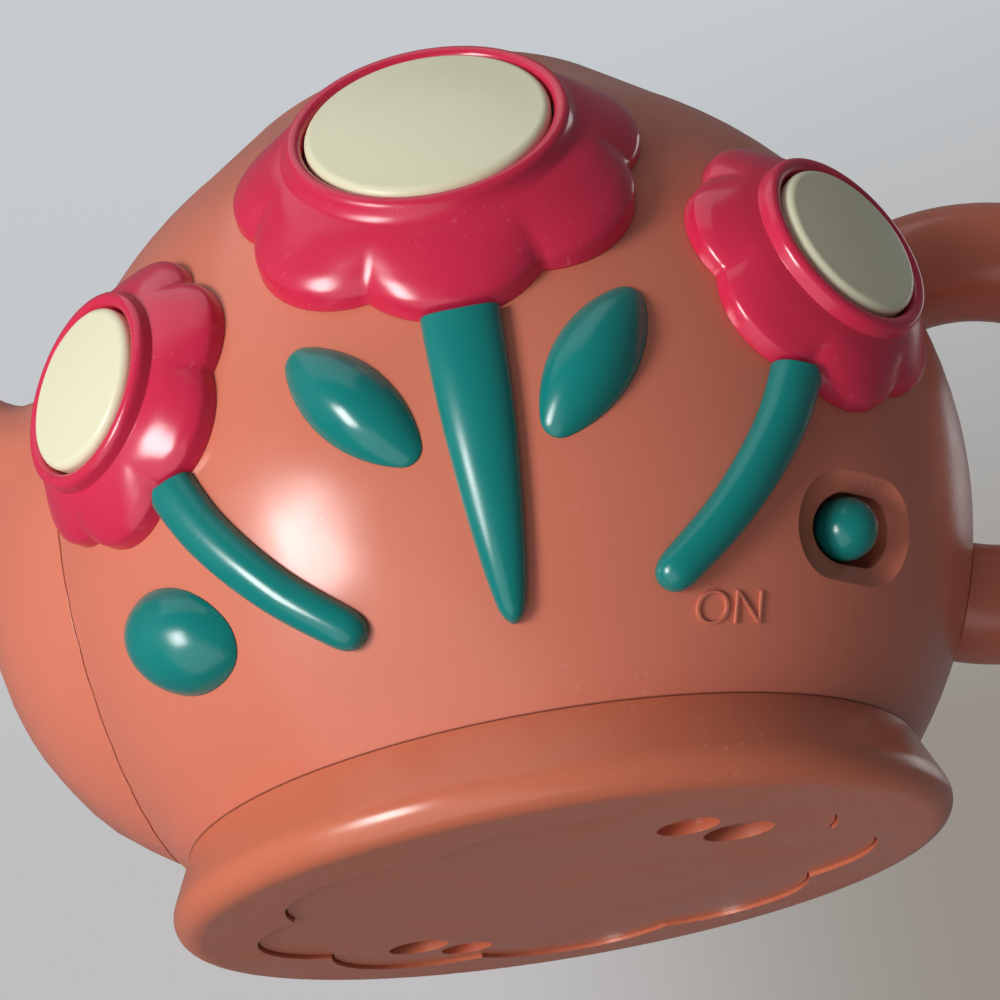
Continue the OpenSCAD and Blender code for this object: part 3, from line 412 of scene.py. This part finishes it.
# each path lists turns round the ball in degrees, with heights in mm
stem = {
    "mainWidth": 7.8 * mm,
    "mainTip": 1.7 * mm,
    "mainPower": 2.4,
    "mainRoundShare": 0.92,
    "mainPath": [(0, 49), (0, 33.1), (0, 17.2)],
    "sideWidth": 5.8 * mm,
    "sideTipShare": 0.7,
    "sideRoundShare": 0.88,
    "sidePath": [(34.5, 41), (30.6, 32.8), (24.4, 25), (16.6, 18.7)],
    "rise": 2.6 * mm,
    "edge": 0.4 * mm,
    "crownShare": 0.45,
    "bluntShare": 0.004,
    "petalGap": 0.1 * mm,
    "searchShare": 0.5,
    "searchTries": 40,
    "steps": 72,
    "lanes": 28,
    "laneDigits": 4,
    "sharpAngle": 50,
}


def stemSpot(path, t):
    turns = [math.radians(p[0]) for p in path]
    heights = [p[1] * mm for p in path]
    return curveThrough(turns, t), curveThrough(heights, t)


# a point on a stem: t along it, across from -1 to 1, on its top or on the ball
def stemPoint(path, wide, tip, power, roundShare, t, across, top):
    halfStep = 0.5 / stem["steps"]
    turn, z = stemSpot(path, t)
    a = stemSpot(path, t - halfStep)
    b = stemSpot(path, t + halfStep)
    r = skinRadius(z)
    lean = math.cos(skinLean(z))
    east = (b[0] - a[0]) * r
    north = (b[1] - a[1]) / lean
    size = math.hypot(east, north)
    half = (wide + (tip - wide) * t ** power) / 2
    past = max(0, (t - roundShare) / (1 - roundShare))
    close = math.sqrt(max(stem["bluntShare"], 1 - past * past))
    lateral = across * half * close
    crown = close * (1 - stem["crownShare"] * (1 - 2 * half / wide))
    rise = body["seatGap"]
    if top:
        swell = math.sqrt(max(0, 1 - across * across))
        rise = stem["edge"] + max(0, stem["rise"] * crown - stem["edge"]) * swell
    return skinPoint(turn - lateral * north / size / r, z + lateral * east / size * lean, rise)


def stemStrip(name, path, wide, tip, power, roundShare, which, replaced):
    size = flowers[which]
    back = flowerFrame(which + "_button_press").inverted()

    def clear(t, across):
        p = back @ stemPoint(path, wide, tip, power, roundShare, t, across, False)
        turn = math.atan2(p.y, p.x) + math.pi / 2
        return math.hypot(p.x, p.y) - petalEdge(turn, size["tip"], size["round"]) - stem["petalGap"]

    # the share of the path at which a lane comes out from under the petals
    def startOf(across):
        low, high = 0, stem["searchShare"]
        for _ in range(stem["searchTries"]):
            middle = (low + high) / 2
            low, high = (middle, high) if clear(middle, across) < 0 else (low, middle)
        return high

    bm = bmesh.new()
    bounds = []
    for top in (True, False):
        verts = bmesh.ops.create_grid(
            bm, x_segments=stem["lanes"], y_segments=stem["steps"], size=1)["verts"]
        starts = {}
        # lanes crowd towards the strip's edges, and steps towards its tip
        for v in verts:
            across = math.sin(v.co.x * math.pi / 2)
            lane = round(v.co.x, stem["laneDigits"])
            if lane not in starts:
                starts[lane] = startOf(across)
            t = starts[lane] + (1 - starts[lane]) * math.sin((v.co.y + 1) * math.pi / 4)
            v.co = stemPoint(path, wide, tip, power, roundShare, t, across, top)
        chosen = set(verts)
        bounds += [e for e in bm.edges if e.is_boundary and e.verts[0] in chosen]
    bmesh.ops.bridge_loops(bm, edges=list(set(bounds)))
    return makePiece(name, bm, "teal", "pot", replaced, stem["sharpAngle"])


stemStrip("mainStemStrip", stem["mainPath"], stem["mainWidth"], stem["mainTip"], stem["mainPower"],
          stem["mainRoundShare"], "main", ["main_stem"])
for which, hand in (("left", -1), ("right", 1)):
    stemStrip(which + "StemStrip", [(hand * p[0], p[1]) for p in stem["sidePath"]], stem["sideWidth"],
              stem["sideWidth"] * stem["sideTipShare"], 1, stem["sideRoundShare"], which, [which + "_stem"])
print("stems made: 3")


spout = {"sharpAngle": 40}


# the spout's solid is a fine mesh already: its copy is welded and shaded as one smooth curve
def spoutShell():
    bm = bmesh.new()
    bm.from_mesh(nodes["spout"].data)
    bmesh.ops.remove_doubles(bm, verts=bm.verts, dist=weld)
    return makePiece("spoutShell", bm, slotOf["spout"], "pot", ["spout"], spout["sharpAngle"])


spoutShell()
print("spout smoothed")


button = {
    "crown": 0.5 * mm,
    "domeRadius": 100 * mm,
    "edgeRound": 0.9 * mm,
    "edgeLift": 0.03 * mm,
    "flangeTop": 4 * mm,
    "flangeThick": 1.2 * mm,
    "flangeStep": 1 * mm,
    "skirt": 1.8 * mm,
    "thick": 2 * mm,
    "plungerRadius": 3.2 * mm,
    "plungerBottom": 7.2 * mm,
    "domeRows": 12,
    "edgeRows": 10,
    "sides": 128,
    "sharpAngle": 40,
}


def domeHeight(r):
    return button["crown"] - button["domeRadius"] + math.sqrt(button["domeRadius"] ** 2 - r ** 2)


# a turned cap: domed face, soft edge, skirt with a stop flange, and the plunger in the middle
def buttonCap(which):
    cap = flowers[which]["cap"]
    flat = cap - button["edgeRound"]
    path = [(flat * i / button["domeRows"], domeHeight(flat * i / button["domeRows"]))
            for i in range(button["domeRows"])]
    middle = domeHeight(flat) + button["edgeLift"] - button["edgeRound"]
    for i in range(button["edgeRows"] + 1):
        a = math.pi / 2 * (1 - i / button["edgeRows"])
        path.append((flat + button["edgeRound"] * math.cos(a), middle + button["edgeRound"] * math.sin(a)))
    stop = cap + button["flangeStep"]
    low = -button["flangeTop"] - button["flangeThick"]
    path += [
        (cap, -button["flangeTop"]), (stop, -button["flangeTop"]), (stop, low),
        (cap - button["skirt"], low), (cap - button["skirt"], -button["thick"]),
        (button["plungerRadius"], -button["thick"]), (button["plungerRadius"], -button["plungerBottom"]),
        (0, -button["plungerBottom"]),
    ]
    bm = bmesh.new()
    verts = [bm.verts.new((r, 0, z)) for r, z in path]
    edges = [bm.edges.new(pair) for pair in zip(verts, verts[1:])]
    bmesh.ops.spin(bm, geom=verts + edges, cent=(0, 0, 0), axis=(0, 0, 1),
                   angle=2 * math.pi, steps=button["sides"], use_duplicate=False)
    bmesh.ops.remove_doubles(bm, verts=bm.verts, dist=weld)
    bmesh.ops.transform(bm, matrix=flowerFrame(which + "_button_press"), verts=bm.verts)
    return makePiece(which + "ButtonCap", bm, "cream", which + "_press", [which + "_button"],
                     button["sharpAngle"])


for which in flowers:
    buttonCap(which)
print("caps turned:", len(flowers))


letters = {
    "text": "ON",
    "height": 3.5 * mm,
    "rise": 0.25 * mm,
    "turn": 25.1,
    "z": 16.6 * mm,
    "capitalShare": 0.7,
    "thinning": 0.08 * mm,
    "cuts": 2,
    "sharpAngle": 30,
}


def raisedWord():
    curve = bpy.data.curves.new("onWordOutline", "FONT")
    curve.body = letters["text"]
    curve.align_x = "CENTER"
    curve.align_y = "CENTER"
    curve.size = letters["height"] / letters["capitalShare"]
    curve.extrude = letters["rise"]
    curve.offset = -letters["thinning"]
    outline = bpy.data.objects.new("onWordOutline", curve)
    bpy.context.scene.collection.objects.link(outline)
    bpy.context.view_layer.update()
    mesh = bpy.data.meshes.new_from_object(outline.evaluated_get(bpy.context.evaluated_depsgraph_get()))
    bpy.data.objects.remove(outline)
    bm = bmesh.new()
    bm.from_mesh(mesh)
    bmesh.ops.remove_doubles(bm, verts=bm.verts, dist=weld)
    bmesh.ops.subdivide_edges(bm, edges=bm.edges, cuts=letters["cuts"])
    turn0 = math.radians(letters["turn"])
    z0 = letters["z"]
    for v in bm.verts:
        z = z0 + v.co.y * math.cos(skinLean(z0))
        turn = turn0 + v.co.x / skinRadius(z)
        v.co = skinPoint(turn, z, v.co.z)
    return makePiece("onWord", bm, "coral", "pot", [], letters["sharpAngle"])


raisedWord()
print("word raised")


camera = {
    "eye": (0.5 * mm, -200.4 * mm, -39.9 * mm),
    "right": (0.98284, 0.10739, -0.14996),
    "down": (-0.17545, 0.29363, -0.93968),
    "ahead": (-0.05688, 0.94987, 0.30743),
    "lens": 60.786,
    "sensor": 36,
    "near": 10 * mm,
    "shift": (0.06, 0.22),
}
lens = bpy.data.cameras.new("photoCamera")
lens.lens = camera["lens"]
lens.sensor_width = camera["sensor"]
lens.shift_x, lens.shift_y = camera["shift"]
lens.clip_start = camera["near"]
eye = bpy.data.objects.new("photoCamera", lens)
turned = Matrix((Vector(camera["right"]), -Vector(camera["down"]), -Vector(camera["ahead"]))).transposed()
eye.matrix_world = Matrix.Translation(camera["eye"]) @ turned.to_4x4()
bpy.context.scene.collection.objects.link(eye)
bpy.context.scene.camera = eye


# each lamp's direction from the middle of the ball, with its distance and size in metres
lamps = {
    "window": {"from": (-0.67, -0.71, -0.17), "far": 0.75, "size": (0.19, 0.28), "watts": 3.9},
    "sky": {"from": (-0.25, -0.45, 0.95), "far": 0.9, "size": (0.9, 0.9), "watts": 1.8},
    "left": {"from": (-0.95, -0.3, 0.25), "far": 0.9, "size": (0.6, 0.9), "watts": 0.25},
    "table": {"from": (-0.45, -0.5, -0.8), "far": 0.9, "size": (0.9, 0.9), "watts": 2.4},
    "rear": {"from": (0.75, 0.6, 0.35), "far": 0.8, "size": (0.25, 0.5), "watts": 0.6},
}
aim = Vector((0, 0, body["midHeight"]))
for name, lamp in lamps.items():
    light = bpy.data.lights.new(name + "Light", "AREA")
    light.shape = "RECTANGLE"
    light.size, light.size_y = lamp["size"]
    light.energy = lamp["watts"]
    holder = bpy.data.objects.new(name + "Light", light)
    out = Vector(lamp["from"]).normalized()
    facing = out.to_track_quat("Z", "Y").to_matrix().to_4x4()
    holder.matrix_world = Matrix.Translation(aim + out * lamp["far"]) @ facing
    bpy.context.scene.collection.objects.link(holder)


room = {
    "wallLeft": "#C0BEBF",
    "wallRight": "#968F88",
    "wallTop": "#C6CACE",
    "leftEnd": -0.1,
    "rightEnd": 0.24,
    "lowEnd": 0.25,
    "highEnd": 0.62,
    "air": "#C3C6C9",
    "glow": 0.2,
    "sheen": 0.28,
}


# the camera sees a shaded wall, and the toy gets a weak even light from the same room
def paleRoom():
    world = bpy.data.worlds.new("paleRoom")
    world.use_nodes = True
    bpy.context.scene.world = world
    tree = world.node_tree
    tree.nodes.clear()
    path = addNode(tree, "ShaderNodeLightPath")
    way = addNode(tree, "ShaderNodeTexCoord").outputs["Generated"]
    heading = addNode(tree, "ShaderNodeSeparateXYZ", {"Vector": way})
    rightward = addNode(tree, "ShaderNodeMapRange", {
        "Value": heading.outputs["X"], "From Min": room["leftEnd"], "From Max": room["rightEnd"]},
        interpolation_type="SMOOTHSTEP").outputs["Result"]
    upward = addNode(tree, "ShaderNodeMapRange", {
        "Value": heading.outputs["Z"],
        "From Min": room["lowEnd"], "From Max": room["highEnd"]}).outputs["Result"]
    wall = addNode(tree, "ShaderNodeMix", {
        "Factor": rightward, "A": linear(room["wallLeft"]), "B": linear(room["wallRight"])},
        data_type="RGBA").outputs["Result"]
    wall = addNode(tree, "ShaderNodeMix", {
        "Factor": upward, "A": wall, "B": linear(room["wallTop"])}, data_type="RGBA").outputs["Result"]
    seen = addNode(tree, "ShaderNodeBackground", {"Color": wall, "Strength": 1})
    glow = addNode(tree, "ShaderNodeBackground", {"Color": linear(room["air"]), "Strength": room["glow"]})
    sheen = addNode(tree, "ShaderNodeBackground", {"Color": linear(room["air"]), "Strength": room["sheen"]})
    sky = addNode(tree, "ShaderNodeMixShader", {
        0: path.outputs["Is Glossy Ray"], 1: glow.outputs["Background"], 2: sheen.outputs["Background"]})
    sky = addNode(tree, "ShaderNodeMixShader", {
        0: path.outputs["Is Camera Ray"], 1: sky.outputs["Shader"], 2: seen.outputs["Background"]})
    addNode(tree, "ShaderNodeOutputWorld", {"Surface": sky.outputs["Shader"]})


paleRoom()


floorLook = {
    "halfSize": 1500 * mm,
    "paper": "#D6D6D4",
    "glowColour": "#C0BEBF",
    "glow": 0.55,
}


# the photo looks up from under the table's height, so the floor shows from above only
def paleFloor():
    bm = bmesh.new()
    bmesh.ops.create_grid(bm, x_segments=1, y_segments=1, size=floorLook["halfSize"])
    mesh = bpy.data.meshes.new("paleFloor")
    bm.to_mesh(mesh)
    bm.free()
    floor = bpy.data.objects.new("paleFloor", mesh)
    bpy.context.scene.collection.objects.link(floor)
    material = bpy.data.materials.new("palePaper")
    material.use_nodes = True
    tree = material.node_tree
    tree.nodes.clear()
    paper = addNode(tree, "ShaderNodeBsdfDiffuse", {"Color": linear(floorLook["paper"])})
    lit = addNode(tree, "ShaderNodeEmission", {
        "Color": linear(floorLook["glowColour"]), "Strength": floorLook["glow"]})
    paper = addNode(tree, "ShaderNodeAddShader", {0: paper.outputs["BSDF"], 1: lit.outputs["Emission"]})
    under = addNode(tree, "ShaderNodeBsdfTransparent")
    facing = addNode(tree, "ShaderNodeNewGeometry")
    oneSided = addNode(tree, "ShaderNodeMixShader", {
        0: facing.outputs["Backfacing"], 1: paper.outputs["Shader"], 2: under.outputs["BSDF"]})
    addNode(tree, "ShaderNodeOutputMaterial", {"Surface": oneSided.outputs["Shader"]})
    mesh.materials.append(material)
    floor.visible_diffuse = False
    floor.visible_glossy = False
    floor.visible_transmission = False
    floor.visible_shadow = False


paleFloor()
bpy.context.scene.view_settings.view_transform = "Standard"
print("stage, lights and camera set")
